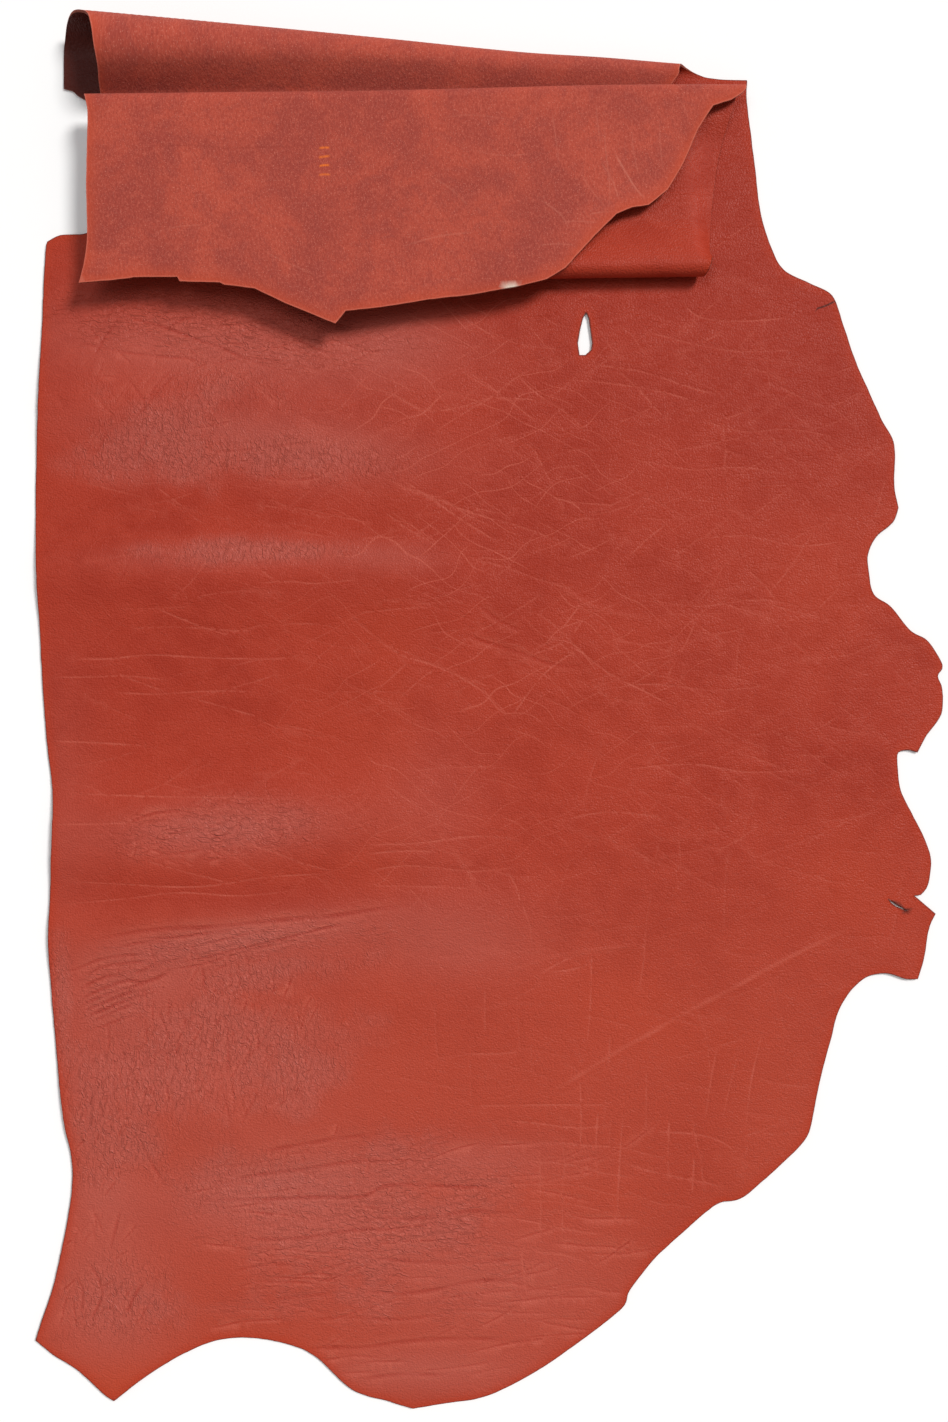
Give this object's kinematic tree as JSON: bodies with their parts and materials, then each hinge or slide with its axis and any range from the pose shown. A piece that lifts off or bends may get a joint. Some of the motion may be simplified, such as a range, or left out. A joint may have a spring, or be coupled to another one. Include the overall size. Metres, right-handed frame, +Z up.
{
  "type": "leather hide",
  "caption": "Red-brown tanned leather side laid grain side up, its top end folded back and forth into a soft roll and a loose ragged flap.",
  "frame": {"origin": "centre of the bounding box, on the surface that the hide lies on", "axes": "+Y along the hide towards its folded end, +X across it towards the belly edge, +Z up"},
  "size_m": [0.8086, 1.2302, 0.0534],
  "materials": {
    "hide_leather": "drum-dyed vegetable tanned, natural grain with a soft waxy sheen, matt flesh side"
  },
  "bodies": {
    "root": {"hide": "hide_leather"}
  },
  "joints": []
}
